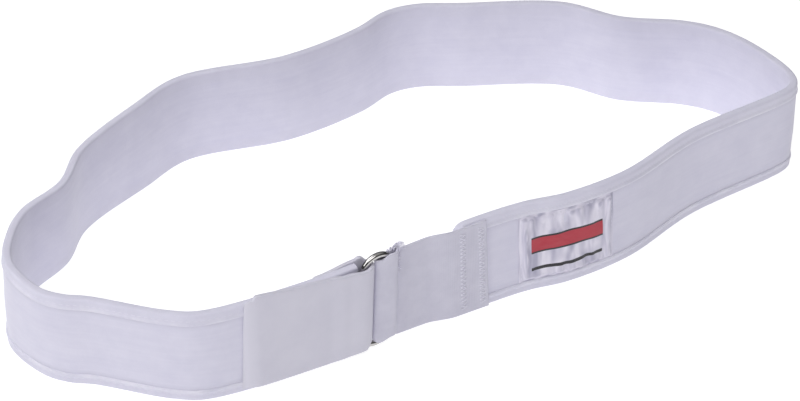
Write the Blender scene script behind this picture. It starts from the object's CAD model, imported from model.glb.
"""The looks of a sacroiliac belt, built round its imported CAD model.

Every soft piece is modelled straight, as it lies on a cutting table, with X along the belt, minus Y outwards
and Z up. It is then bent round the loop by a guide curve, so that its weave and stitches follow it.
"""

import logging
import math
import random
from dataclasses import dataclass, field, replace
from enum import Enum
from typing import Callable, NamedTuple

import bmesh
import bpy
import numpy as np
from mathutils import Matrix, Vector, noise


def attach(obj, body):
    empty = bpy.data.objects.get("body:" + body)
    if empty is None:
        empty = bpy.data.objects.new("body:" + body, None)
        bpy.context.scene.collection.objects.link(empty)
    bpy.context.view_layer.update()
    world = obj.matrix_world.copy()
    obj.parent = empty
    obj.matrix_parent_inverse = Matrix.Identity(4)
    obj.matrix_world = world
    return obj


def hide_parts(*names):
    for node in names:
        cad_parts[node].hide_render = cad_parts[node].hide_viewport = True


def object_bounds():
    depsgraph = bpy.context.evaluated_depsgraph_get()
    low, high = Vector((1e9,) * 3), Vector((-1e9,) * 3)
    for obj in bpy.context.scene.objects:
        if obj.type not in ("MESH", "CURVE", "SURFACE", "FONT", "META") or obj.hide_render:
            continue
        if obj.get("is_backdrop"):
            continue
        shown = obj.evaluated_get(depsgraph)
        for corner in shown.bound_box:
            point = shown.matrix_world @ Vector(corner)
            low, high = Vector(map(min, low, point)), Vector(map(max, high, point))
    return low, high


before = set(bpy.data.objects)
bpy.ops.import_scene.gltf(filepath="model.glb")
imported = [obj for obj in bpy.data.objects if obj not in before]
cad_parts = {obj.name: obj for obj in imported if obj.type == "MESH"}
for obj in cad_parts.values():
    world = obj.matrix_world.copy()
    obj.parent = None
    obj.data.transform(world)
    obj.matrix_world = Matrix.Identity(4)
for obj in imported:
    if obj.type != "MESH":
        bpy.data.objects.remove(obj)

Piece = bpy.types.Object
Tree = bpy.types.NodeTree
Socket = bpy.types.NodeSocket
Pair = tuple[float, float]
Point = tuple[float, float, float]

MM = 0.001
LOG = logging.getLogger("belt")
BELT_SPACE = "belt_mm"  # attribute: where a point was before bending, in millimetres
HALF_BELT = 25.5  # half of the belt's height, in millimetres
WAVE_PITCH = 0.314  # distance between two bands of Blender's wave texture at a scale of 1
SOFT_CREASE = 50.0  # degrees between two faces that still shade as one
THREAD_CREASE = 60.0
ROUND_CREASE = 80.0


class PlanRow(NamedTuple):
    """A point of the loop seen from above, in shares of its width, its depth and the belt's height."""

    across: float
    deep: float
    lean: float


PLAN = [PlanRow(*row) for row in (
    (-0.051, -0.353, 0.0),
    (0.083, -0.239, -0.045),
    (0.141, -0.197, -0.04),
    (0.193, -0.172, -0.03),
    (0.271, -0.103, -0.015),
    (0.36, 0.029, 0.0),
    (0.493, 0.167, 0.03),
    (0.4995, 0.19, 0.03),
    (0.494, 0.23, 0.02),
    (0.448, 0.334, 0.0),
    (0.409, 0.384, 0.0),
    (0.37, 0.409, 0.0),
    (0.287, 0.431, 0.0),
    (0.209, 0.491, 0.0),
    (0.076, 0.496, 0.0),
    (0.011, 0.496, 0.0),
    (-0.026, 0.474, 0.0),
    (-0.067, 0.411, 0.0),
    (-0.161, 0.32, 0.0),
    (-0.299, 0.256, 0.0),
    (-0.354, 0.164, 0.0),
    (-0.424, 0.022, -0.06),
    (-0.4435, -0.086, -0.07),
    (-0.484, -0.17, -0.04),
    (-0.4975, -0.236, -0.04),
    (-0.497, -0.33, -0.04),
    (-0.455, -0.417, 0.0),
    (-0.424, -0.441, 0.0),
    (-0.393, -0.449, 0.0),
    (-0.296, -0.496, 0.0),
    (-0.255, -0.5, 0.0),
    (-0.118, -0.412, 0.0),
)]


class Edge(Enum):
    """The two long edges of the belt, with the way from the edge into the cloth."""

    BOTTOM = 1
    TOP = -1


def smooth(share: np.ndarray | float) -> np.ndarray | float:
    """Eases a share from 0 to 1 without a corner at either end."""
    share = np.clip(share, 0.0, 1.0)
    return share * share * (3.0 - 2.0 * share)


def deselect_all() -> None:
    """Leaves nothing selected, the CAD nodes included."""
    bpy.ops.object.select_all(action="DESELECT")


def only(piece: Piece) -> None:
    """Makes one object the selected and active one.

    Args:
        piece: That object.
    """
    deselect_all()
    piece.select_set(True)
    bpy.context.view_layer.objects.active = piece


def settle(piece: Piece, name: str) -> Piece:
    """Names a new primitive and moves its place and size into its mesh.

    Args:
        piece: The object that an operator has just added.
        name: Its name from now on.

    Returns:
        The same object, at the origin, unturned and unscaled.
    """
    piece.name = piece.data.name = name
    only(piece)
    bpy.ops.object.transform_apply(location=True, rotation=True, scale=True)
    return piece


def apply_modifier(piece: Piece, kind: str, **settings: object) -> None:
    """Adds a modifier with its settings and applies it at once.

    Args:
        piece: The mesh to change.
        kind: Blender's name for the modifier.
        **settings: Values for the modifier's properties.
    """
    only(piece)
    modifier = piece.modifiers.new(kind.title(), kind)
    for key, value in settings.items():
        setattr(modifier, key, value)
    bpy.ops.object.modifier_apply(modifier=modifier.name)


def points_of(piece: Piece) -> np.ndarray:
    """Reads a mesh's points.

    Args:
        piece: The mesh.

    Returns:
        Its points as rows of x, y and z.
    """
    flat = np.empty(len(piece.data.vertices) * 3)
    piece.data.vertices.foreach_get("co", flat)
    return flat.reshape(-1, 3)


def move_points(piece: Piece, places: np.ndarray) -> None:
    """Writes a mesh's points back."""
    piece.data.vertices.foreach_set("co", places.ravel())
    piece.data.update()


def mark_belt_space(piece: Piece) -> None:
    """Keeps each point's straight place in millimetres, for the patterns of the materials.

    Args:
        piece: A straight mesh. One that is marked already stays as it is.
    """
    if BELT_SPACE in piece.data.attributes:
        return
    layer = piece.data.attributes.new(BELT_SPACE, "FLOAT_VECTOR", "POINT")
    layer.data.foreach_set("vector", (points_of(piece) / MM).ravel())


def ripples(places: np.ndarray, wavelength: float, seed: float) -> np.ndarray:
    """Gives soft random ripples, the same on each run.

    Args:
        places: Points as rows of x, y and z.
        wavelength: Rough distance between two crests, in metres.
        seed: Moves the pattern to another part of the noise.

    Returns:
        A value from about -1 to 1 for each point.
    """
    shift = Vector((seed, seed, seed))
    return np.array([noise.noise(Vector(p) / wavelength + shift) for p in places])


def upright_strip(name: str, length: Pair, height: Pair, cells: tuple[int, int]) -> Piece:
    """Adds a flat cloth strip that stands on its edge and faces outwards.

    Args:
        name: Name of the new piece.
        length: Its first and last X.
        height: Its lowest and highest Z.
        cells: Faces along it and up it.

    Returns:
        The strip.
    """
    deselect_all()
    bpy.ops.mesh.primitive_grid_add(
        x_subdivisions=cells[0],
        y_subdivisions=cells[1],
        size=1.0,
        location=(sum(length) / 2, 0.0, sum(height) / 2),
        rotation=(math.pi / 2, 0.0, 0.0),
    )
    strip = bpy.context.active_object
    strip.scale = (length[1] - length[0], height[1] - height[0], 1.0)
    return settle(strip, name)


def add_guide(name: str, places: list[Pair]) -> Piece:
    """Adds a flat guide curve through a row of points.

    Args:
        name: Name of the curve.
        places: X and Y of each point.

    Returns:
        The curve object.
    """
    data = bpy.data.curves.new(name, "CURVE")
    data.dimensions = "3D"
    data.twist_mode = "Z_UP"
    spline = data.splines.new("POLY")
    spline.points.add(len(places) - 1)
    for point, (x, y) in zip(spline.points, places):
        point.co = (x, y, 0.0, 1.0)
    guide = bpy.data.objects.new(name, data)
    bpy.context.collection.objects.link(guide)
    return guide


def bend(piece: Piece, guide: Piece) -> None:
    """Bends a straight piece along a guide curve."""
    apply_modifier(piece, "CURVE", object=guide, deform_axis="POS_X")


def remove(piece: Piece) -> None:
    """Deletes a helper object."""
    bpy.data.objects.remove(piece, do_unlink=True)


def select_edges(piece: Piece, test: Callable[[Vector, Vector], bool]) -> None:
    """Selects, in edit mode, the edges whose middle and direction pass a test.

    Args:
        piece: The mesh in edit mode.
        test: Takes an edge's middle and its direction, and says whether the edge is meant.
    """
    bpy.ops.mesh.select_mode(type="EDGE")
    bpy.ops.mesh.select_all(action="DESELECT")
    mesh = bmesh.from_edit_mesh(piece.data)
    for edge in mesh.edges:
        first, second = (vertex.co for vertex in edge.verts)
        edge.select_set(test((first + second) / 2, (second - first).normalized()))
    bmesh.update_edit_mesh(piece.data)


def select_faces(piece: Piece, test: Callable[[Vector, Vector], bool]) -> None:
    """Selects, in edit mode, the faces whose centre and normal pass a test.

    Args:
        piece: The mesh in edit mode.
        test: Takes a face's centre and its normal, and says whether the face is meant.
    """
    bpy.ops.mesh.select_mode(type="FACE")
    bpy.ops.mesh.select_all(action="DESELECT")
    mesh = bmesh.from_edit_mesh(piece.data)
    for face in mesh.faces:
        face.select_set(test(face.calc_center_median(), face.normal))
    bmesh.update_edit_mesh(piece.data)


def block(name: str, low: Point, high: Point) -> Piece:
    """Adds a block between two corners.

    Args:
        name: Name of the new piece.
        low: Its lowest corner.
        high: Its highest corner.

    Returns:
        The block.
    """
    deselect_all()
    bpy.ops.mesh.primitive_cube_add(size=1.0, location=[(a + b) / 2 for a, b in zip(low, high)])
    piece = bpy.context.active_object
    piece.scale = [b - a for a, b in zip(low, high)]
    return settle(piece, name)


def subdivide_along(piece: Piece, axis: Vector, *cuts: int) -> None:
    """Cuts all edges that run along an axis, once for each number of cuts.

    Args:
        piece: The mesh in edit mode.
        axis: Direction of the edges.
        *cuts: Numbers of cuts, one after the other.
    """
    for count in cuts:
        select_edges(piece, lambda middle, heading: abs(heading.dot(axis)) > 0.999)
        bpy.ops.mesh.subdivide(number_cuts=count)


def corner_drop(from_end: np.ndarray, radius: float) -> np.ndarray:
    """Says how far an edge lies under its height near a rounded corner.

    Args:
        from_end: Distances from the end, along the belt.
        radius: Radius of the corner.

    Returns:
        The drop at each distance.
    """
    inside = np.clip(radius - from_end, 0.0, radius)
    return radius - np.sqrt(radius ** 2 - inside ** 2)


def stitch_row(
    count: int, step: Point, length: float, thread: float, place: Point, turn: float = 0.0, side: int = 1,
) -> Piece:
    """Adds a row of stitches, which are short threads that dip into the cloth at both ends.

    Args:
        count: Number of stitches.
        step: The way from one to the next.
        length: Distance between a stitch's two needle holes.
        thread: Thickness of the thread.
        place: Middle of the first stitch.
        turn: Turn of each stitch in the cloth's plane, from along the belt.
        side: 1 for the belt's outer face, -1 for its inner one.

    Returns:
        The row, as one mesh.
    """
    straight = 0.6 * length
    deselect_all()
    bpy.ops.mesh.primitive_cylinder_add(
        vertices=6, radius=thread / 2, depth=straight, location=place,
        rotation=(0.0, math.pi / 2 - turn, 0.0),
    )
    row = settle(bpy.context.active_object, "stitch_row")
    heading = Vector((math.cos(turn), 0.0, math.sin(turn)))
    bpy.ops.object.mode_set(mode="EDIT")
    dip = Vector((0.0, side * thread * 0.55, 0.0))
    for way in (1, -1):
        select_faces(row, lambda centre, normal: normal.dot(heading) * way > 0.9)
        reach = heading * (way * (length - straight) / 2) + dip
        bpy.ops.mesh.extrude_region_move(TRANSFORM_OT_translate={"value": reach})
        bpy.ops.transform.resize(value=(0.5, 0.5, 0.5))
    bpy.ops.object.mode_set(mode="OBJECT")
    apply_modifier(
        row, "ARRAY", count=count, use_relative_offset=False, use_constant_offset=True,
        constant_offset_displace=step,
    )
    return row


@dataclass
class BeltPath:
    """The line that the belt follows round the hips, measured from the ring's middle."""

    width: float = 384.0 * MM
    depth: float = 250.0 * MM
    height: float = 51.0 * MM
    thick: float = 4.3 * MM
    slant: float = 0.06
    slant_reach: float = 40.0 * MM
    spare: float = 90.0 * MM
    step: float = 1.0 * MM
    samples: int = 40

    def __post_init__(self) -> None:
        """Works out the loop's length and the guide curve that bends pieces round it."""
        line = self._catmull_rom(np.array([
            (row.across * self.width, row.deep * self.depth, row.lean * self.height) for row in PLAN
        ]))
        closed = np.vstack([line, line[:1]])
        reach = np.concatenate([[0.0], np.cumsum(np.linalg.norm(np.diff(closed, axis=0), axis=1))])
        self.length = float(reach[-1])
        self.along = np.arange(-self.spare, self.length + self.spare, self.step)
        wrapped = self.along % self.length
        plan = np.column_stack([np.interp(wrapped, reach, closed[:, axis]) for axis in range(3)])
        self.lean = plan[:, 2]
        self.plan = plan[:, :2] + self._centring(plan)
        steps = np.linalg.norm(np.diff(self.plan, axis=0), axis=1)
        self.run = np.concatenate([[0.0], np.cumsum(steps)])
        self.guide = add_guide("belt_guide", [tuple(p) for p in self.plan])

    def _catmull_rom(self, points: np.ndarray) -> np.ndarray:
        """Runs a closed centripetal Catmull-Rom curve through the plan's points.

        Args:
            points: One row of x, y and lean for each point.

        Returns:
            Many more rows, evenly spread between each two points.
        """
        before, after, later = (np.roll(points, shift, axis=0) for shift in (1, -1, -2))
        first, middle, last = (
            np.linalg.norm(b - a, axis=1, keepdims=True) ** 0.5
            for a, b in ((before, points), (points, after), (after, later))
        )
        leave = (points - before) / first - (after - before) / (first + middle) + (after - points) / middle
        arrive = (after - points) / middle - (later - points) / (middle + last) + (later - after) / last
        leave, arrive = leave * middle, arrive * middle
        rows = []
        for share in np.arange(self.samples) / self.samples:
            square, cube = share ** 2, share ** 3
            rows.append(
                points * (2 * cube - 3 * square + 1) + leave * (cube - 2 * square + share)
                + after * (3 * square - 2 * cube) + arrive * (cube - square)
            )
        return np.stack(rows, axis=1).reshape(-1, points.shape[1])

    def _centring(self, plan: np.ndarray) -> np.ndarray:
        """Finds the small shift that sets the loop in the middle of the CAD model's own frame.

        Args:
            plan: The path's points before the shift, with the lean there.

        Returns:
            The shift in X and Y.
        """
        low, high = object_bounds()
        heading = np.gradient(plan[:, :2], axis=0)
        heading /= np.linalg.norm(heading, axis=1, keepdims=True)
        reach = (self.thick + np.abs(plan[:, 2:])) / 2
        outer = plan[:, :2] + reach * np.column_stack([heading[:, 1], -heading[:, 0]])
        centre = np.array([(low[axis] + high[axis]) / 2 for axis in range(2)])
        return centre - (outer.min(0) + outer.max(0)) / 2

    def wrap(self, piece: Piece, crease: float = SOFT_CREASE) -> Piece:
        """Bends a straight piece round the loop, with the lean and slant that the belt has there.

        Args:
            piece: A mesh with X along the belt, minus Y outwards and Z up.
            crease: Degrees between two of its faces that still shade as one.

        Returns:
            The same piece, in its place and shaded smooth.
        """
        mark_belt_space(piece)
        x, y, z = points_of(piece).T
        from_ring = x - self.length * np.round(x / self.length)
        slanted = x + self.slant * np.exp(-((from_ring / self.slant_reach) ** 2)) * (z - self.height / 2)
        lean = np.interp(slanted, self.along, self.lean) * (z / self.height - 0.5)
        run = np.interp(slanted, self.along, self.run)
        move_points(piece, np.column_stack([run, y - lean, z]))
        bend(piece, self.guide)
        bpy.ops.object.shade_smooth_by_angle(angle=math.radians(crease))
        return piece

    def sew(
        self, name: str, rows: list[Piece], fit: Callable[[np.ndarray], np.ndarray] | None = None
    ) -> Piece:
        """Joins rows of stitches to one piece and bends it round the loop.

        Args:
            name: Name of the piece.
            rows: The straight rows.
            fit: Takes their points and gives them back on the cloth, where that isn't flat.

        Returns:
            The stitches, in their place.
        """
        only(rows[0])
        for row in rows:
            row.select_set(True)
        bpy.ops.object.join()
        stitches = rows[0]
        stitches.name = stitches.data.name = name
        if fit:
            move_points(stitches, fit(points_of(stitches)))
        return self.wrap(stitches, THREAD_CREASE)


class Stop(NamedTuple):
    """A place on a strap's route: along the belt, outwards, and the strap's two edges there."""

    along: float
    out: float
    low: float
    high: float


@dataclass
class Route:
    """The way that a strap takes through the ring, as seen from above a straight belt."""

    stops: list[Stop] = field(default_factory=list)
    step: float = 0.4 * MM
    mesh: float = 0.8 * MM  # length of the strap's faces
    rounding: float = 0.22  # how far its edges are rounded, as a share of its thickness
    narrows: Pair = (0.25, 0.8)  # sines of a fold's angle where it begins to narrow and fits the ring

    def to(self, stop: Stop) -> None:
        """Goes on to a stop, easing outwards or inwards on the way.

        Args:
            stop: The next stop.
        """
        last = self.stops[-1]
        count = max(2, int(abs(stop.along - last.along) / self.step))
        for i in range(1, count + 1):
            share = i / count
            soft = float(smooth(share))
            self.stops.append(Stop(
                last.along + (stop.along - last.along) * share,
                *(a + (b - a) * soft for a, b in zip(last[1:], stop[1:])),
            ))

    def fold(self, stop: Stop, tip: float, room: Pair, droop: float = 0.0, count: int = 40) -> None:
        """Folds round a bar to a stop on its other side.

        Args:
            stop: Where the fold ends.
            tip: How far along the belt the fold reaches.
            room: Lowest and highest place for the strap inside the ring.
            droop: How far its lower edge hangs down before it enters the ring.
            count: Steps of the fold.
        """
        begins, narrow = self.narrows
        last = self.stops[-1]
        for i in range(1, count + 1):
            angle = math.pi * i / count
            narrowed = float(smooth((math.sin(angle) - begins) / (narrow - begins)))
            across = (1.0 - math.cos(angle)) / 2
            low = last.low + (stop.low - last.low) * across
            high = last.high + (stop.high - last.high) * across
            self.stops.append(Stop(
                last.along + (stop.along - last.along) * across + (tip - last.along) * math.sin(angle),
                last.out + (stop.out - last.out) * across,
                low + (room[0] - low) * narrowed - droop * math.sin(2 * min(angle, math.pi / 2)) ** 2,
                high + (room[1] - high) * narrowed,
            ))

    def round_bar(self, bar: Pair, radius: float, high: float, count: int = 12) -> None:
        """Runs straight to a bar and then round it to its outer side.

        Args:
            bar: The bar's middle, along the belt and outwards.
            radius: Distance from there to the strap's own middle.
            high: Height of the strap's upper edge there.
            count: Steps round the bar.
        """
        last = self.stops[-1]._replace(high=high)
        reach = (last.along - bar[0], last.out - bar[1])
        start = math.atan2(reach[1], reach[0]) + math.acos(radius / math.hypot(*reach))
        for angle in np.linspace(start, math.pi / 2, count):
            self.stops.append(last._replace(
                along=bar[0] + radius * math.cos(angle), out=bar[1] + radius * math.sin(angle)
            ))

    def cut(self) -> tuple[float, float, float]:
        """Measures the flat strap before it is folded.

        Returns:
            Its greatest width, its length and its area.
        """
        steps = [math.hypot(b.along - a.along, b.out - a.out) for a, b in zip(self.stops, self.stops[1:])]
        widths = [stop.high - stop.low for stop in self.stops]
        area = sum(step * (a + b) / 2 for step, a, b in zip(steps, widths, widths[1:]))
        return max(widths), sum(steps), area

    def strap(
        self, name: str, thick: float, rows: int, path: BeltPath,
        tapers: Pair = (0.0, 0.0), cut: float = 0.0,
    ) -> Piece:
        """Makes the strap that follows this route.

        Args:
            name: Name of the piece.
            thick: Thickness of the strap.
            rows: Faces across its width.
            path: The belt's path.
            tapers: Lengths over which its first and last ends thin towards the belt.
            cut: How much further its last end reaches at the bottom than at the top.

        Returns:
            The strap, in its place on the belt.
        """
        plan = np.array([(s.along, -s.out) for s in self.stops])
        lengths = np.concatenate([[0.0], np.cumsum(np.linalg.norm(np.diff(plan, axis=0), axis=1))])
        total = float(lengths[-1])
        piece = upright_strip(name, (0.0, total), (0.0, 1.0), (int(total / self.mesh), rows))
        places = points_of(piece)
        low = np.interp(places[:, 0], lengths, [s.low for s in self.stops])
        high = np.interp(places[:, 0], lengths, [s.high for s in self.stops])
        places[:, 2] = low + places[:, 2] * (high - low)
        middle = (self.stops[-1].low + self.stops[-1].high) / 2
        slope = cut / (self.stops[-1].high - self.stops[-1].low)
        near_end = smooth((places[:, 0] - total) / (5 * cut + MM) + 1.0)
        places[:, 0] += (middle - places[:, 2]) * slope * near_end
        move_points(piece, places)
        apply_modifier(piece, "SOLIDIFY", thickness=thick, offset=0.0)
        apply_modifier(piece, "BEVEL", width=thick * self.rounding, segments=2, angle_limit=math.radians(60))
        mark_belt_space(piece)
        places = points_of(piece)
        kept = 0.36 * thick  # from its middle to the place, on the belt's side, that its far face thins to
        sink = 0.12 * MM  # how much closer to the belt a thin end lies
        for from_end, taper in zip((places[:, 0].copy(), total - places[:, 0]), tapers):
            thinned = np.clip(1.0 - from_end / (taper or MM), 0.0, 1.0) ** 1.4 * (taper > 0.0)
            places[:, 1] -= (np.maximum(places[:, 1], -kept) + kept) * thinned
            places[:, 1] -= sink * thinned
        move_points(piece, places)
        guide = add_guide(f"{name}_guide", [tuple(p) for p in plan])
        bend(piece, guide)
        remove(guide)
        return path.wrap(piece)


def linear(code: int) -> tuple[float, float, float, float]:
    """Turns an sRGB hex value to the linear colour that Blender works in."""
    channels = [((code >> shift) & 255) / 255 for shift in (16, 8, 0)]
    return (*(c / 12.92 if c <= 0.04045 else ((c + 0.055) / 1.055) ** 2.4 for c in channels), 1.0)


def feed(tree: Tree, node: bpy.types.Node, inputs: dict) -> None:
    """Sets or links a node's inputs.

    Args:
        tree: The node tree.
        node: The node.
        inputs: Values, or the outputs of other nodes, by the input's name or number.
    """
    for key, value in inputs.items():
        if isinstance(value, Socket):
            tree.links.new(value, node.inputs[key])
        else:
            node.inputs[key].default_value = value


def add_node(tree: Tree, kind: str, inputs: dict, output: str | int = 0, **settings: object) -> Socket:
    """Adds a node with its settings and its inputs.

    Args:
        tree: The node tree.
        kind: Blender's name for the node, without the ShaderNode before it.
        inputs: Values, or the outputs of other nodes, by the input's name or number.
        output: Name or number of the output that is wanted.
        **settings: Values for the node's properties.

    Returns:
        That output.
    """
    node = tree.nodes.new(f"ShaderNode{kind}")
    for key, value in settings.items():
        setattr(node, key, value)
    feed(tree, node, inputs)
    return node.outputs[output]


def belt_place(tree: Tree) -> Socket:
    """Gives a point's place in belt space, in millimetres."""
    return add_node(tree, "Attribute", {}, "Vector", attribute_name=BELT_SPACE)


def span(tree: Tree, value: Socket, low: float, high: float, to: Pair = (0.0, 1.0)) -> Socket:
    """Maps a range of a value to another range, from 0 to 1 if none is named."""
    limits = {"From Min": low, "From Max": high, "To Min": to[0], "To Max": to[1]}
    return add_node(tree, "MapRange", {"Value": value, **limits})


def work_out(tree: Tree, operation: str, *values: Socket | float) -> Socket:
    """Does one step of arithmetic."""
    return add_node(tree, "Math", dict(enumerate(values)), operation=operation)


def stretched(tree: Tree, place: Socket, scale: Point) -> Socket:
    """Scales a place by its own factor along each axis."""
    return add_node(tree, "VectorMath", {0: place, 1: scale}, operation="MULTIPLY")


def blend(tree: Tree, share: Socket, under: object, over: object) -> Socket:
    """Lays a share of one colour over another."""
    return add_node(tree, "Mix", {0: share, 6: under, 7: over}, 2, data_type="RGBA")


@dataclass(frozen=True)
class Finish:
    """What every finish has: its name, its main colour and its roughness."""

    name: str
    colour: int
    roughness: float

    def make(self) -> bpy.types.Material:
        """Makes the material with its nodes.

        Returns:
            The material.
        """
        material = bpy.data.materials.new(self.name)
        material.use_nodes = True
        tree = material.node_tree
        shader = tree.nodes["Principled BSDF"]
        feed(tree, shader, {"Base Color": linear(self.colour), "Roughness": self.roughness})
        feed(tree, shader, self.pattern(tree))
        return material

    def pattern(self, tree: Tree) -> dict:
        """Gives the shader's further inputs; each finish has its own."""
        return {}


@dataclass(frozen=True)
class Cloth(Finish):
    """A white cloth whose tone, nap and threads follow the belt. Its pattern sizes are in millimetres."""

    shade: int = 0xFFFFFF  # the colour of its darker patches
    patchy: Pair = (0.35, 0.65)  # noise that gives its darker and its paler tone in full
    sheen: float = 0.2
    sheen_roughness: float = 0.45
    gloss: float = 0.25
    mottle: float = 14.0
    bump: float = 0.6
    fuzz: float = 0.8
    fuzz_depth: float = 0.12
    streak: Pair = (40.0, 2.2)  # length and width of the streaks in its nap
    streak_share: float = 0.0
    threads: Pair = (0.0, 0.0)  # distances between threads, along it and up it
    thread_turn: float = 0.0
    thread_depth: float = 0.1
    border: Pair | None = None  # where along it the paler border of its end begins and is full
    border_colour: int = 0xDAD8E5
    seam: Pair | None = None  # heights from the belt's middle where its seam tone begins and is full
    seam_colour: int = 0xC3C1D2

    def pattern(self, tree: Tree) -> dict:
        """Adds the cloth's tone and its relief.

        Args:
            tree: The material's node tree.

        Returns:
            The shader's further inputs.
        """
        place = belt_place(tree)
        return {
            "Sheen Weight": self.sheen, "Sheen Roughness": self.sheen_roughness,
            "Specular IOR Level": self.gloss, "Base Color": self.tone(tree, place),
            "Normal": self.relief(tree, place),
        }

    def tone(self, tree: Tree, place: Socket) -> Socket:
        """Draws the patches and streaks of the nap, the paler border and the tone next to the seam.

        Args:
            tree: The material's node tree.
            place: A point's place in belt space.

        Returns:
            The colour.
        """
        length, width = self.streak
        patches = add_node(tree, "TexNoise", {
            "Vector": place, "Scale": 1 / self.mottle, "Detail": 4.0, "Roughness": 0.65,
        })
        drawn = stretched(tree, place, (1 / length, 1 / width, 1 / width))
        streaks = add_node(tree, "TexNoise", {
            "Vector": drawn, "Scale": 1.0, "Detail": 3.0, "Roughness": 0.6,
        })
        mixed = add_node(tree, "Mix", {0: self.streak_share, 2: patches, 3: streaks})
        clear = span(tree, mixed, *self.patchy)
        colour = blend(tree, clear, linear(self.shade), linear(self.colour))
        parts = add_node(tree, "SeparateXYZ", {0: place}).node.outputs
        if self.border:
            colour = blend(tree, span(tree, parts["X"], *self.border), colour, linear(self.border_colour))
        if self.seam:
            from_middle = work_out(tree, "SUBTRACT", parts["Z"], HALF_BELT)
            near = span(tree, work_out(tree, "ABSOLUTE", from_middle), *self.seam)
            outer = work_out(tree, "LESS_THAN", parts["Y"], 0.0)
            share = work_out(tree, "MULTIPLY", work_out(tree, "MULTIPLY", near, outer), clear)
            colour = blend(tree, share, colour, linear(self.seam_colour))
        return colour

    def relief(self, tree: Tree, place: Socket) -> Socket:
        """Draws the fuzz and the threads as bumps.

        Args:
            tree: The material's node tree.
            place: A point's place in belt space.

        Returns:
            The bumped normal.
        """
        turn = (0.0, math.radians(self.thread_turn), 0.0)
        fuzz = add_node(tree, "TexNoise", {"Vector": place, "Scale": 1 / self.fuzz, "Detail": 2.0})
        normal = add_node(tree, "Bump", {
            "Strength": self.bump, "Distance": self.fuzz_depth * MM, "Height": fuzz,
        })
        for pitch, axis in zip(self.threads, "XZ"):
            if not pitch:
                continue
            turned = add_node(tree, "Mapping", {"Vector": place, "Rotation": turn})
            ribs = add_node(tree, "TexWave", {
                "Vector": turned, "Scale": WAVE_PITCH / pitch, "Distortion": 1.2, "Detail": 1.0,
                "Detail Scale": 0.4,
            }, "Fac", bands_direction=axis)
            normal = add_node(tree, "Bump", {
                "Strength": self.bump, "Distance": self.thread_depth * MM, "Height": ribs, "Normal": normal,
            })
        return normal


class Stripe(NamedTuple):
    """A printed stripe: its lower and upper edge above the belt's, in millimetres, and its colour."""

    low: float
    high: float
    colour: int


@dataclass(frozen=True)
class Satin(Finish):
    """White polyester satin with long floats, a soft gloss and printed stripes, its sizes in millimetres."""

    shade: int = 0xB0ADC4
    float_pitch: float = 0.5  # coarser than real floats, which are too fine to show
    crease: Pair = (4.5, 20.0)  # width and length of the creases that the seam draws in
    creased: Pair = (0.28, 0.66)  # noise that gives its darker and its paler tone in full
    pucker: float = 9.0
    pucker_depth: float = 0.6
    stripes: tuple[Stripe, ...] = (
        Stripe(23.5, 31.0, 0xB4283C),
        Stripe(22.5, 23.5, 0x1C1A22),
        Stripe(31.0, 32.0, 0x1C1A22),
        Stripe(12.4, 14.2, 0x1C1A22),
    )
    reach: Pair = (85.0, 122.5)  # where along the belt the stripes begin and end

    def pattern(self, tree: Tree) -> dict:
        """Adds the creases, the printed stripes, the floats and the puckers.

        Args:
            tree: The material's node tree.

        Returns:
            The shader's further inputs.
        """
        def between(value: Socket, low: float, high: float) -> Socket:
            """Gives 1 where a value lies between two others, else 0."""
            return work_out(tree, "COMPARE", value, (low + high) / 2, (high - low) / 2)

        place = belt_place(tree)
        parts = add_node(tree, "SeparateXYZ", {0: place}).node.outputs
        width, length = self.crease
        drawn = stretched(tree, place, (1 / width, 1.0, 1 / length))
        creases = add_node(tree, "TexNoise", {
            "Vector": drawn, "Scale": 1.0, "Detail": 1.0, "Distortion": 0.2,
        })
        colour = blend(tree, span(tree, creases, *self.creased), linear(self.shade), linear(self.colour))
        inside = between(parts["X"], *self.reach)
        for stripe in self.stripes:
            level = between(parts["Z"], stripe.low, stripe.high)
            colour = blend(tree, work_out(tree, "MULTIPLY", inside, level), colour, linear(stripe.colour))
        floats = add_node(tree, "TexWave", {
            "Vector": place, "Scale": WAVE_PITCH / self.float_pitch, "Distortion": 2.0,
        }, "Fac", bands_direction="Z")
        fine = add_node(tree, "Bump", {"Strength": 0.3, "Distance": 0.03 * MM, "Height": floats})
        puckers = add_node(tree, "TexNoise", {
            "Vector": place, "Scale": 1 / self.pucker, "Detail": 2.0, "Distortion": 0.6,
        })
        normal = add_node(tree, "Bump", {
            "Strength": 1.0, "Distance": self.pucker_depth * MM, "Height": puckers, "Normal": fine,
        })
        return {"Anisotropic": 0.4, "Base Color": colour, "Normal": normal}


@dataclass(frozen=True)
class PlatedWire(Finish):
    """Chromed steel wire: bright, with faint draw marks in its gloss."""

    marks: float = 900.0  # draw marks to a metre

    def pattern(self, tree: Tree) -> dict:
        """Adds the metal's faint marks to its gloss.

        Args:
            tree: The material's node tree.

        Returns:
            The shader's further inputs.
        """
        place = add_node(tree, "TexCoord", {}, "Object")
        marks = add_node(tree, "TexNoise", {"Vector": place, "Scale": self.marks, "Detail": 3.0})
        gloss = span(tree, marks, 0.0, 1.0, (self.roughness * 0.6, self.roughness * 1.5))
        return {"Metallic": 1.0, "Roughness": gloss}


@dataclass(frozen=True)
class Thread(Finish):
    """Spun polyester thread: matt, with the twist of its plies."""

    twist: float = 0.7

    def pattern(self, tree: Tree) -> dict:
        """Adds the twist as a bump across the thread.

        Args:
            tree: The material's node tree.

        Returns:
            The shader's further inputs.
        """
        plies = add_node(tree, "TexWave", {
            "Vector": belt_place(tree), "Scale": WAVE_PITCH / self.twist,
        }, "Fac", bands_direction="DIAGONAL")
        return {"Normal": add_node(tree, "Bump", {"Strength": 0.5, "Distance": 0.1 * MM, "Height": plies})}


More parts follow.
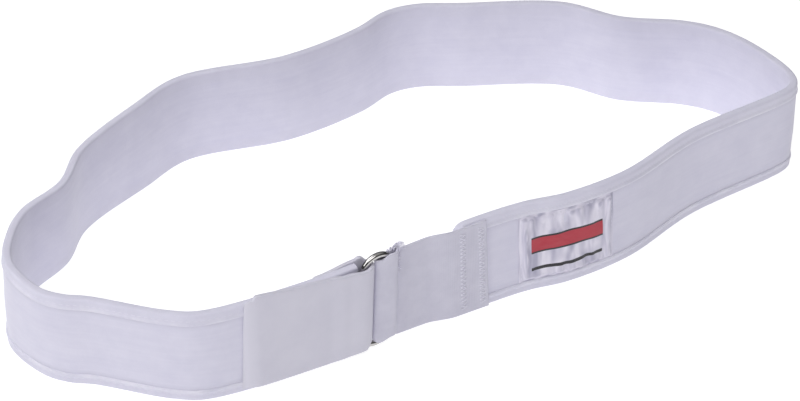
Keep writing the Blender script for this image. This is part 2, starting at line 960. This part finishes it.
# Brushed nylon loop cloth: raised loops scatter light evenly, so it looks chalky and a little mottled.
# Next to the bindings the seam has pressed its nap flat, which looks a little darker.
LOOP_CLOTH = Cloth(
    "brushed_nylon_loop_cloth", 0xDEDCEC, 0.95, shade=0xD6D4E6, sheen=0.35, streak_share=0.35,
    seam=(16.4, 19.0), seam_colour=0xCBC9DA,
)
# Knitted polyester binding: flatter than the loop cloth, with a denser, paler edge. Its slanted wales are
# drawn about twice as far apart as real ones, which would blur at this size.
BINDING = Cloth(
    "knitted_binding_tape", 0xDCDAEA, 0.92, shade=0xD7D5E6, sheen=0.3, threads=(1.4, 0.0), thread_turn=35.0,
    thread_depth=0.04, fuzz_depth=0.05, seam=(22.2, 19.7), seam_colour=0xE6E4F1,
)
# Hook tape on a knitted ground: smooth and tight, so its face is even and slightly darker. Its threads are
# drawn coarser than real ones.
HOOK_TAPE = Cloth(
    "hook_tape_knit", 0xD6D4E1, 0.7, shade=0xD1CFDD, sheen=0.1, threads=(1.1, 0.9), fuzz_depth=0.03,
    thread_depth=0.02, mottle=25.0,
)
# Woven elastic: rubber cords wrapped in polyester lie along it, and the cross threads draw fine lines over
# them. Both are drawn a little coarser than real ones.
ELASTIC = Cloth(
    "woven_elastic_webbing", 0xD3D1E0, 0.8, shade=0xCCCADA, sheen=0.15, threads=(0.9, 1.3), fuzz_depth=0.06,
    thread_depth=0.035, mottle=9.0,
)
# Polyester satin: its long floats give soft bright and dark creases where the seam gathers it.
SATIN = Satin("polyester_satin", 0xE6E2F1, 0.3)
# Chromed steel wire: a nearly clear mirror, so that the ring shows dark and bright bands.
CHROME = PlatedWire("chromed_steel_wire", 0xBDBBBA, 0.07)
# Spun polyester thread: matt and a little paler than the cloth under it.
THREAD = Thread("spun_polyester_thread", 0xE3E1EF, 0.8)


def dress(piece: Piece, finish: Finish, slot: str, *nodes: str) -> Piece:
    """Gives a piece its finish and its place in the record.

    Args:
        piece: The finished piece.
        finish: What it is made of.
        slot: The record's material slot.
        *nodes: The CAD nodes that it stands for.

    Returns:
        The same piece.
    """
    material = bpy.data.materials.get(finish.name) or finish.make()
    piece.data.materials.clear()
    piece.data.materials.append(material)
    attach(piece, "root")
    if nodes:
        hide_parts(*nodes)
    LOG.info("%s: %d faces in %s", piece.name, len(piece.data.polygons), finish.name)
    return piece


@dataclass
class PaddedBand:
    """The padded band with its two bindings and their seams."""

    path: BeltPath
    start: float = 44.0 * MM
    to_ring: float = 10.4 * MM  # from its other end to the ring's middle, which keeps it clear of the bar
    clearance: float = 0.3 * MM
    wall: float = 1.0 * MM  # thickness of the binding's tape
    reach: float = 6.3 * MM  # how far the bindings cover the band
    corner: float = 7.0 * MM  # radius of the upper corner at its sewn end
    fill: float = 0.45  # how much of the padding's room is filled
    pad: float = 4.1 * MM  # thickness of the padding between the bindings
    crown: float = 0.25 * MM  # how far its middle bulges
    seam: float = 2.7 * MM  # from a binding's inner edge to its stitches
    ridge: float = 0.6 * MM  # how far a binding's inner edge stands up on the outer face
    groove: Pair = (0.1 * MM, 3.0 * MM)  # depth and width of the dip next to that edge
    stitch_step: float = 3.2 * MM
    thread: float = 0.36 * MM

    @property
    def end(self) -> float:
        """Gives the place where the band ends, behind the ring."""
        return self.path.length - self.to_ring

    def build(self) -> None:
        """Builds and dresses the whole band."""
        panel = self.panel()
        dress(panel, LOOP_CLOTH, "brushed_loop_cloth", "padded_band")
        for edge, name in ((Edge.TOP, "top_binding"), (Edge.BOTTOM, "bottom_binding")):
            dress(self.binding(f"{name}_tape", edge), BINDING, "binding_tape", name)
        dress(self.seams(), THREAD, "binding_tape")

    def round_corner(self, places: np.ndarray) -> np.ndarray:
        """Rounds the upper corner of the band's sewn end.

        Args:
            places: Points as rows of x, y and z.

        Returns:
            The points, lowered near that corner.
        """
        share = smooth((places[:, 2] / self.path.height - 0.5) * 2.2)
        places[:, 2] -= corner_drop(places[:, 0] - self.start, self.corner) * share
        return places

    def face(self, from_edge: np.ndarray, outer: np.ndarray | bool = True) -> np.ndarray:
        """Says how far the padding's face stands out from the belt's middle between the bindings.

        Args:
            from_edge: Distances from the belt's nearer long edge.
            outer: Whether a point is on the outer face, where the seam pulls a groove.

        Returns:
            The distance at each point.
        """
        depth, width = self.groove
        crown = smooth((from_edge - self.reach) / (18.0 * MM))
        dip = (1.0 - smooth((from_edge - self.reach) / width)) * depth
        return self.pad / 2 + crown * self.crown + np.where(outer, -dip, dip * 0.9)

    def panel(self) -> Piece:
        """Makes the padding with its cloth: crowned between the bindings and thin inside them.

        Returns:
            The panel, in its place.
        """
        inset = self.wall + self.clearance
        height = self.path.height
        panel = block(
            "padded_panel",
            (self.start + inset, -self.pad / 2, inset),
            (self.end - inset, self.pad / 2, height - inset),
        )
        bpy.ops.object.mode_set(mode="EDIT")
        subdivide_along(panel, Vector((0, 0, 1)), 39)
        subdivide_along(panel, Vector((1, 0, 0)), 24, 24)
        bpy.ops.object.mode_set(mode="OBJECT")
        places = points_of(panel)
        upper = places[:, 2] > height / 2
        from_edge = np.minimum(places[:, 2], height - places[:, 2])
        rim = self.reach + 0.015 * MM
        # The rows of points are drawn together at the bindings' edges, where the face steps out.
        from_edge = np.interp(
            (from_edge - inset) / (height / 2 - inset), [0.0, 0.1, 0.15, 0.2, 0.35, 1.0],
            [inset, rim - 0.05 * MM, rim, rim + 0.2 * MM, self.reach + 2.0 * MM, height / 2],
        )
        places[:, 2] = np.where(upper, height - from_edge, from_edge)
        thin = self.path.thick / 2 - self.wall - self.clearance
        half = np.where(from_edge > rim - 0.02 * MM, self.face(from_edge, places[:, 1] < 0.0), thin)
        places[:, 1] = np.sign(places[:, 1]) * half
        loose = smooth((from_edge - self.reach) / (6.0 * MM)) * 0.1 * MM
        places[:, 1] += ripples(places * (1.0, 4.0, 1.0), 9.0 * MM, 3.0) * loose
        move_points(panel, self.round_corner(places))
        return self.path.wrap(panel)

    def binding(self, name: str, edge: Edge) -> Piece:
        """Makes one binding: a tape folded over the band's edge and sewn through.

        Args:
            name: Name of the piece.
            edge: The edge that it covers.

        Returns:
            The binding, in its place.
        """
        thick = self.path.thick
        base = 0.0 if edge is Edge.BOTTOM else self.path.height
        inwards = Vector((0, 0, edge.value))
        low, high = sorted((base, base + edge.value * self.reach))
        tape = block(name, (self.start, -thick / 2, low), (self.end, thick / 2, high))
        bpy.ops.object.mode_set(mode="EDIT")
        select_faces(tape, lambda centre, normal: normal.dot(inwards) > 0.9)
        bpy.ops.mesh.inset(thickness=self.wall)
        bpy.ops.mesh.extrude_region_move(
            TRANSFORM_OT_translate={"value": inwards * (self.wall - self.reach)}
        )
        select_edges(tape, lambda middle, heading: (
            abs(heading.x) > 0.99 and abs(middle.z - base) < 0.1 * MM
        ))
        bpy.ops.mesh.bevel(offset=1.2 * MM, segments=4, affect="EDGES")
        rim = base + edge.value * self.reach
        outer = thick / 2 - 0.1 * MM
        select_edges(tape, lambda middle, heading: (
            abs(heading.x) > 0.99 and abs(middle.z - rim) < 0.1 * MM and middle.y < -outer
        ))
        bpy.ops.mesh.bevel(offset=0.15 * MM, segments=2, affect="EDGES")
        select_edges(tape, lambda middle, heading: abs(heading.z) > 0.99 and abs(middle.y) > outer)
        bpy.ops.mesh.subdivide(number_cuts=9)
        subdivide_along(tape, Vector((1, 0, 0)), 24, 24)
        bpy.ops.object.mode_set(mode="OBJECT")
        places = points_of(tape)
        from_edge = np.abs(places[:, 2] - base)
        is_outer = places[:, 1] < 0.4 * MM - thick / 2
        at_seam = np.exp(-(((from_edge - self.reach + self.seam) / (0.9 * MM)) ** 2))
        at_rim = np.exp(-(((from_edge - self.reach + 1.1 * MM) / (0.9 * MM)) ** 2))
        varied = 0.8 + 0.5 * ripples(places * (1.0, 0.0, 0.0), 55.0 * MM, 12.0)
        places[:, 1] -= (at_rim * self.ridge - at_seam * 0.15 * MM) * varied * is_outer
        move_points(tape, self.round_corner(places) if edge is Edge.TOP else places)
        return self.path.wrap(tape)

    def seams(self) -> Piece:
        """Makes the four rows of stitches that hold the bindings.

        Returns:
            The rows, as one piece in its place.
        """
        rows = []
        count = int((self.end - self.start - 8 * MM) / self.stitch_step)
        out = self.path.thick / 2 - 0.3 * MM + self.thread * 0.3
        for edge in Edge:
            base = 0.0 if edge is Edge.BOTTOM else self.path.height
            height = base + edge.value * (self.reach - self.seam)
            for side in (1, -1):
                rows.append(stitch_row(
                    count, (self.stitch_step, 0.0, 0.0), self.stitch_step * 0.86, self.thread,
                    (self.start + 5 * MM, -side * out, height), side=side,
                ))
        return self.path.sew("binding_stitches", rows, self.round_corner)


@dataclass
class SteelRing:
    """The wire ring that both folds pass through."""

    path: BeltPath
    wire: float = 3.0 * MM
    opening: float = 13.5 * MM
    clear_height: float = 48.0 * MM
    lift: float = 1.0 * MM
    out: float = 2.4 * MM

    @property
    def middle(self) -> float:
        """Gives the height of the ring's middle."""
        return self.lift + self.wire + self.clear_height / 2

    @property
    def bar(self) -> float:
        """Gives the distance from the ring's middle to a bar's own middle."""
        return (self.opening + self.wire) / 2

    def room(self, along: float, ease: float = 0.8 * MM) -> Pair:
        """Measures the height inside the ring at a distance from its middle.

        Args:
            along: That distance, along the belt.
            ease: What stays free above and below.

        Returns:
            The lowest and the highest place there.
        """
        radius = self.opening / 2
        half = self.clear_height / 2 - radius + math.sqrt(max(0.0, radius ** 2 - along ** 2)) - ease
        return self.middle - half, self.middle + half

    def build(self) -> None:
        """Builds and dresses the ring: a torus whose halves are drawn apart."""
        segments = 64
        deselect_all()
        bpy.ops.mesh.primitive_torus_add(
            major_segments=segments, minor_segments=20, major_radius=self.bar, minor_radius=self.wire / 2,
            location=(0.0, -self.out, self.middle), rotation=(math.pi / 2, math.pi / segments, 0.0),
        )
        ring = settle(bpy.context.active_object, "chromed_ring")
        draw = (self.clear_height + self.wire) / 2 - self.bar
        bpy.ops.object.mode_set(mode="EDIT")
        for side in (1, -1):
            select_faces(ring, lambda centre, normal: (centre.z - self.middle) * side > 0.3 * MM)
            bpy.ops.transform.translate(value=(0.0, 0.0, side * draw))
        bpy.ops.object.mode_set(mode="OBJECT")
        dress(self.path.wrap(ring, ROUND_CREASE), CHROME, "chromed_wire", "steel_ring")


@dataclass
class HookTab:
    """The hook tab: sewn inside the band, folded round the ring and closed on the band's outer face."""

    band: PaddedBand
    ring: SteelRing
    thick: float = 2.0 * MM
    sewn: float = 28.7 * MM  # from its sewn end to the band's end
    reach: float = 69.1 * MM  # from its free end to the ring's middle
    trim: float = 3.0 * MM  # how much narrower than the band it is at the ring
    flare: float = 2.5 * MM  # how much wider than the band it is near its free end
    border: float = 4.3 * MM  # width of the pressed border at its free end
    shoulder: float = 2.3 * MM  # how much lower the border's top is than the rest
    cut: float = 3.0 * MM  # how much further its free end reaches at the bottom than at the top
    sag: float = 2.1 * MM  # how far the outer run's upper edge hangs down next to the ring
    slack: float = 2.1 * MM  # between its inner run and the ring's bar
    outer_slack: float = 0.9 * MM
    ramp: float = 18.0 * MM  # length over which it comes down from the ring to the band
    lift: float = 2.0 * MM
    fold_line: float = -1.62 * MM  # how far its fold reaches past the ring's middle

    def route(self) -> Route:
        """Lays the tab's route from its sewn end to its free end.

        Returns:
            The route.
        """
        band, ring = self.band, self.ring
        height = band.path.height
        half = self.thick / 2
        bar = ring.wire / 2 + self.slack + half
        outer = ring.out + ring.wire / 2 + self.outer_slack + half
        face = band.path.thick / 2 + band.clearance + half
        width = height - self.trim
        low, high = ring.middle - width / 2, ring.middle + width / 2
        sewn_end = -band.to_ring - self.sewn
        route = Route([Stop(sewn_end, -face, self.trim / 2, height - 5 * self.trim)])
        route.to(Stop(sewn_end + 10 * MM, -face, self.trim / 2, height - self.trim / 2))
        route.to(Stop(-band.to_ring, -face, low, high - 0.8 * MM))
        route.to(Stop(-ring.bar, ring.out - bar, low, high + MM))
        route.fold(
            Stop(-ring.bar, outer, low - 0.8 * MM, high - self.sag), self.fold_line - half,
            ring.room(self.fold_line - self.thick),
        )
        halfway = (face + outer) / 2
        route.to(Stop(-ring.bar - self.ramp / 2, halfway, self.lift + 0.6 * MM, high - 0.6 * self.sag))
        route.to(Stop(-ring.bar - self.ramp, face, self.lift, high - 0.1 * self.sag))
        route.to(Stop(-ring.bar - 1.6 * self.ramp, face, self.lift, self.lift + height))
        top = self.lift + height + self.flare
        route.to(Stop(-self.reach + self.border + 1.2 * MM, face, self.lift, top))
        route.to(Stop(-self.reach + self.border, face, self.lift, top - self.shoulder))
        route.to(Stop(-self.reach + 1.2 * MM, face, self.lift, top - self.shoulder - 0.4 * MM))
        route.to(Stop(-self.reach, face, self.lift, top - self.shoulder - 1.6 * MM))
        return route

    def build(self) -> None:
        """Builds and dresses the tab."""
        route = self.route()
        tab = route.strap(
            "hook_tab_cloth", self.thick, 40, self.band.path, tapers=(0.0, 8.0 * MM), cut=self.cut
        )
        width, length, area = route.cut()
        border = (length - self.border) / MM
        dress(tab, replace(HOOK_TAPE, border=(border - 3.0, border + 3.0)), "hook_tape", "hook_tab")


@dataclass
class ElasticLoop:
    """The elastic webbing: looped round the ring's other bar and sewn on the band's outer face."""

    band: PaddedBand
    ring: SteelRing
    fold_line: float
    thick: float = 1.2 * MM
    trim: float = 1.0 * MM  # how much narrower than the band it is
    lift: float = 0.6 * MM
    overlap: float = 17.0 * MM  # how far it lies on the band
    ramp: float = 16.0 * MM  # length over which it comes up to the band's face
    seam: float = 1.5 * MM  # from the ring's bar to the seam behind it
    tail: float = 1.1 * MM  # from that seam to its cut end
    gap: float = 0.15 * MM  # between the fold lines of the tab and the webbing
    droop: float = 2.0 * MM  # how far its fold hangs below the ring's opening on the outer side
    rise: float = 3.4 * MM  # how far its tail stands above the ring's opening
    thread: float = 0.36 * MM  # a little thicker than a real one, so that its stitches show
    zigzag: float = 0.6 * MM  # the bulky thread of its zigzag seams, also drawn thicker than real
    fibre: float = 0.34 * MM  # a bunch of the fine fibres of its frayed end
    end_threads: int = 45
    edge_threads: int = 75
    loop: tuple[Pair, ...] = (  # back from its end and up from the opening, in millimetres
        (3.0, -0.3), (2.2, 1.8), (1.9, 3.4), (1.2, 4.5), (0.3, 4.2), (0.0, 3.0), (-0.5, 1.4), (-1.0, -0.3),
    )

    @property
    def bar(self) -> float:
        """Gives the distance from the ring's bar to the webbing's own middle."""
        return self.ring.wire / 2 + self.band.clearance + self.thick / 2

    @property
    def on_top(self) -> float:
        """Gives how far out the tail lies, on the webbing's inner run."""
        return self.ring.out - self.bar + self.thick + self.band.clearance

    @property
    def seam_line(self) -> float:
        """Gives the place along the belt of the seam behind the ring."""
        return self.ring.bar + self.ring.wire / 2 + self.seam

    @property
    def room(self) -> Pair:
        """Gives the lowest and the highest place of its fold inside the ring."""
        return self.ring.room(self.fold_line + self.gap + self.thick)

    def route(self) -> Route:
        """Lays the webbing's route from its cut tail to its end on the band.

        Returns:
            The route.
        """
        band, ring = self.band, self.ring
        half = self.thick / 2
        low, high = self.room
        inner = ring.out - self.bar
        main = (self.lift, self.lift + band.path.height - self.trim)
        face = band.path.thick / 2 + band.clearance + half
        seam = self.seam_line
        route = Route([Stop(seam + self.tail, self.on_top, low, high + self.rise)])
        route.to(Stop(seam, self.on_top, low, high + self.rise))
        route.round_bar((ring.bar, ring.out), self.bar, high + self.rise * 0.6)
        route.fold(
            Stop(ring.bar, inner, low, high), self.fold_line + self.gap + half, (low, high), self.droop
        )
        route.to(Stop(seam + 2 * self.tail, inner, *main))
        route.to(Stop(band.start - self.ramp, inner, *main))
        route.to(Stop(band.start - band.clearance, face, *main))
        route.to(Stop(band.start + self.overlap, face, *main))
        return route

    def build(self) -> None:
        """Builds and dresses the webbing, its stitches and its frayed end."""
        route = self.route()
        webbing = route.strap(
            "elastic_webbing_cloth", self.thick, 44, self.band.path, tapers=(3.4 * MM, 0.0)
        )
        dress(webbing, ELASTIC, "elastic_webbing", "elastic_webbing")
        width, length, area = route.cut()
        dress(self.stitches(), THREAD, "elastic_webbing")
        dress(self.fray(), THREAD, "elastic_webbing")

    def stitches(self) -> Piece:
        """Makes the two zigzag seams on the band and the straight one behind the ring.

        Returns:
            The seams, as one piece in its place.
        """
        band = self.band
        rows = []
        face = band.path.thick / 2 + band.clearance + self.thick
        rise, width = 1.1 * MM, 3.8 * MM
        for middle in (band.start + 3.5 * MM, band.start + self.overlap - 3.2 * MM):
            for side in (1, -1):
                place = (middle, -face - self.thread * 0.1, 3.2 * MM + rise * (1.5 - side / 2))
                rows.append(stitch_row(
                    20, (0.0, 0.0, 2 * rise), math.hypot(width, rise), self.zigzag, place,
                    turn=side * math.atan2(rise, width),
                ))
        place = (self.seam_line, -self.on_top + self.thread * 0.3, 7.5 * MM)
        rows.append(stitch_row(15, (0.0, 0.0, 2.9 * MM), 2.3 * MM, self.thread, place, turn=math.pi / 2))
        return band.path.sew("webbing_stitches", rows)

    def loose_threads(self) -> list[list[Point]]:
        """Lays the loose threads of the webbing's cut end, with one long loop at its upper corner.

        Returns:
            The points of each thread.
        """
        chance = random.Random(7)
        end, out = self.seam_line + self.tail, self.on_top
        high = self.room[1]
        paths = []
        for _ in range(self.end_threads):
            height = high - chance.uniform(0.0, 1.0) ** 2 * 14 * MM
            reach = chance.uniform(0.3, 1.5) * MM
            lift = chance.uniform(-0.5, 0.8) * MM
            spread = chance.uniform(-0.5, 0.5) * MM
            paths.append([
                (end - 0.4 * MM, -out - spread, height),
                (end + reach * 0.5, -out - spread * 1.2, height + lift * 0.3),
                (end + reach, -out - spread * 1.5 - 0.2 * MM, height + lift),
            ])
        for _ in range(self.edge_threads):
            along = end + chance.uniform(-6.0, 0.8) * MM
            root = high + self.rise * (0.9 - 0.1 * (end - along) / MM)
            reach = chance.uniform(0.3, 2.2) * MM
            drift = chance.uniform(-1.6, 1.0) * MM
            spread = chance.uniform(-0.3, 0.8) * MM
            paths.append([
                (along, -out - spread, root - 1.0 * MM),
                (along + drift * 0.2, -out - spread * 1.4, root + reach * 0.7),
                (along + drift, -out - spread * 1.6, root + reach),
                (along + drift * 1.2, -out - spread * 1.2, root + reach * 0.4),
            ])
        for shift in (0.0, 0.4, -0.4, 0.8):
            paths.append([
                (end + (1.6 - back + shift) * MM, -out - shift * MM, high + up * MM)
                for back, up in self.loop
            ])
        return paths

    def fray(self) -> Piece:
        """Makes the loose threads.

        Returns:
            The threads, as one piece in its place.
        """
        data = bpy.data.curves.new("frayed_threads", "CURVE")
        data.dimensions = "3D"
        data.bevel_depth = self.fibre / 2
        data.bevel_resolution = 1
        for path in self.loose_threads():
            spline = data.splines.new("NURBS")
            spline.points.add(len(path) - 1)
            spline.order_u = 3
            spline.use_endpoint_u = True
            spline.resolution_u = 3
            for point, place in zip(spline.points, path):
                point.co = (*place, 1.0)
        data.use_fill_caps = True
        threads = bpy.data.objects.new("frayed_threads", data)
        bpy.context.collection.objects.link(threads)
        only(threads)
        bpy.ops.object.convert(target="MESH")
        return self.band.path.wrap(bpy.context.active_object, ROUND_CREASE)


@dataclass
class SewnLabel:
    """The satin label, sewn flat on the band but puckered by its seam."""

    band: PaddedBand
    start: float = 78.5 * MM
    length: float = 50.5 * MM
    margin: float = 6.4 * MM  # from the belt's long edges
    cloth: float = 0.2 * MM
    pucker: float = 1.1 * MM  # height of its soft waves
    gather: float = 1.1 * MM  # height of the pleats that start at its seam
    side_fold: float = 1.0 * MM  # height of the fold along each side
    unevenness: float = 0.35 * MM  # how far its edges wander from straight lines
    hem: float = 1.2 * MM  # from its edges to its stitches
    stitch_step: float = 2.4 * MM
    thread: float = 0.24 * MM

    def lift(self, places: np.ndarray) -> np.ndarray:
        """Says how far the label stands off the band at some points.

        Args:
            places: Points as rows of x, y and z.

        Returns:
            The distance outwards from the belt's middle at each point.
        """
        high = self.band.path.height - self.margin
        from_side = np.minimum(places[:, 0] - self.start, self.start + self.length - places[:, 0])
        from_seam = np.minimum(places[:, 2] - self.margin, high - places[:, 2])
        inside = smooth((np.minimum(from_side, from_seam) - 0.2 * MM) / (2.6 * MM))
        pleats = 0.4 + 1.6 * ripples(places * (1.0, 1.0, 0.16), 3.6 * MM, 5.0)
        reach = (7.0 + 6.0 * ripples(places * (1.0, 0.0, 0.0), 11.0 * MM, 2.0)) * MM
        gathers = pleats * np.exp(-((from_seam / reach) ** 2))
        crest = np.exp(-(((from_side - 3.6 * MM) / (1.1 * MM)) ** 2))
        fold = crest * (0.8 + ripples(places, 9.0 * MM, 33.0))
        soft = ripples(places * (1.0, 1.0, 0.7), 11.0 * MM, 21.0)
        from_edge = np.minimum(places[:, 2], self.band.path.height - places[:, 2])
        base = self.band.face(from_edge) + self.cloth / 2 + 0.04 * MM
        puffed = 0.6 * MM + gathers * self.gather + fold * self.side_fold + soft * self.pucker
        return base + inside * puffed

    def build(self) -> None:
        """Builds and dresses the label and its stitches."""
        high = self.band.path.height - self.margin
        end = self.start + self.length
        label = upright_strip("satin_label_cloth", (self.start, end), (self.margin, high), (126, 94))
        places = points_of(label)
        places[:, 1] = -self.lift(places)
        places[:, [0, 2]] += ripples(places, 8.0 * MM, 40.0)[:, None] * self.unevenness
        move_points(label, places)
        apply_modifier(label, "SOLIDIFY", thickness=self.cloth, offset=0.0)
        dress(self.band.path.wrap(label), SATIN, "satin_label", "satin_label")
        dress(self.stitches(high), THREAD, "satin_label")

    def on_cloth(self, places: np.ndarray) -> np.ndarray:
        """Lays the points of flat stitches on the label.

        Args:
            places: Points as rows of x, y and z.

        Returns:
            The points, moved outwards.
        """
        places[:, 1] -= self.lift(places) + self.cloth / 2 - self.thread * 0.1
        return places

    def stitches(self, high: float) -> Piece:
        """Makes the row of stitches round the label.

        Args:
            high: Height of the label's upper edge.

        Returns:
            The four sides of the row, as one piece in its place.
        """
        rows = []
        step, length = self.stitch_step, self.stitch_step * 0.85
        left, right = self.start + self.hem, self.start + self.length - self.hem
        low, top = self.margin + self.hem, high - self.hem
        for height in (low, top):
            place = (left + step / 2, 0.0, height)
            rows.append(stitch_row(int((right - left) / step), (step, 0.0, 0.0), length, self.thread, place))
        for along in (left, right):
            place = (along, 0.0, low + step / 2)
            rows.append(stitch_row(
                int((top - low) / step), (0.0, 0.0, step), length, self.thread, place, turn=math.pi / 2
            ))
        return self.band.path.sew("label_stitches", rows, self.on_cloth)


class Softbox(NamedTuple):
    """A square soft light: degrees to the left of the camera's side, degrees up, and its sizes in metres."""

    name: str
    left: float
    rise: float
    distance: float
    side: float
    watts: float


@dataclass
class Studio:
    """The photographer's side: camera, floor and soft lights."""

    softboxes: tuple[Softbox, ...] = (
        Softbox("key_softbox", 50.0, 42.0, 2.2, 1.3, 11.2),
        Softbox("fill_softbox", -10.0, 52.0, 2.4, 1.5, 13.0),
        Softbox("overhead_softbox", 100.0, 60.0, 2.0, 1.3, 12.0),
    )
    wall: float = 0.05  # strength of the sky's light low down
    ceiling: float = 0.45  # and overhead
    horizon: Pair = (0.45, 0.85)  # sines of the heights where the ceiling begins and is full
    paper: int = 0xA4A4A6
    floor_glow: float = 0.84
    lens: float = 142.707
    eye: Point = (-5.405 * MM, -1252.15 * MM, 961.61 * MM)
    target: Point = (-5.405 * MM, 23.954 * MM, 0.0)
    roll: float = math.radians(-1.4725)

    def build(self) -> None:
        """Sets up the camera, the floor, the lights and the sky."""
        self.add_camera()
        self.add_floor()
        for softbox in self.softboxes:
            self.add_softbox(softbox)
        self.add_sky()
        bpy.context.scene.view_settings.view_transform = "Standard"

    def add_camera(self) -> None:
        """Adds the camera where the photographer's stood."""
        heading = Vector(self.target) - Vector(self.eye)
        data = bpy.data.cameras.new("camera")
        data.lens = self.lens
        data.sensor_width = 36.0
        data.clip_end = 20.0
        camera = bpy.data.objects.new("camera", data)
        camera.location = self.eye
        camera.rotation_euler = (
            heading.to_track_quat("-Z", "Y").to_matrix() @ Matrix.Rotation(self.roll, 3, "Z")
        ).to_euler()
        bpy.context.scene.collection.objects.link(camera)
        bpy.context.scene.camera = camera

    def add_floor(self) -> None:
        """Adds the lit white sheet that the belt stands on."""
        deselect_all()
        bpy.ops.mesh.primitive_plane_add(size=12.0, location=(0.0, 0.0, 0.0))
        floor = settle(bpy.context.active_object, "studio_floor")
        paper = bpy.data.materials.new("lit_white_acrylic")
        paper.use_nodes = True
        feed(paper.node_tree, paper.node_tree.nodes["Principled BSDF"], {
            "Base Color": linear(self.paper), "Roughness": 0.9, "Specular IOR Level": 0.1,
            "Emission Color": linear(0xFFFFFF), "Emission Strength": self.floor_glow,
        })
        floor.data.materials.append(paper)
        floor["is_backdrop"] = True

    def add_sky(self) -> None:
        """Adds the plain white surroundings, brighter overhead."""
        world = bpy.data.worlds.new("studio")
        world.use_nodes = True
        tree = world.node_tree
        heading = add_node(tree, "TexCoord", {}, "Generated")
        rise = add_node(tree, "SeparateXYZ", {0: heading}, "Z")
        glow = span(tree, rise, *self.horizon, (self.wall, self.ceiling))
        feed(tree, tree.nodes["Background"], {"Color": linear(0xFFFFFF), "Strength": glow})
        bpy.context.scene.world = world

    def add_softbox(self, softbox: Softbox) -> None:
        """Adds one soft light that faces the belt.

        Args:
            softbox: Its place, size and strength.
        """
        left, rise = math.radians(softbox.left), math.radians(softbox.rise)
        away = Vector((-math.sin(left) * math.cos(rise), -math.cos(left) * math.cos(rise), math.sin(rise)))
        data = bpy.data.lights.new(softbox.name, "AREA")
        data.size = softbox.side
        data.energy = softbox.watts
        light = bpy.data.objects.new(softbox.name, data)
        light.location = away * softbox.distance
        light.rotation_euler = away.to_track_quat("Z", "Y").to_euler()
        bpy.context.scene.collection.objects.link(light)


def main() -> None:
    """Builds the belt piece by piece, and then the studio."""
    logging.basicConfig(level=logging.INFO, format="%(name)s: %(message)s")
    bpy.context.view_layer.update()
    path = BeltPath()
    LOG.info("loop of %.1f mm", path.length / MM)
    band = PaddedBand(path)
    ring = SteelRing(path)
    ring.build()
    band.build()
    tab = HookTab(band, ring)
    tab.build()
    ElasticLoop(band, ring, tab.fold_line).build()
    SewnLabel(band).build()
    remove(path.guide)
    Studio().build()
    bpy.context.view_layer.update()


if __name__ == "__main__":
    main()
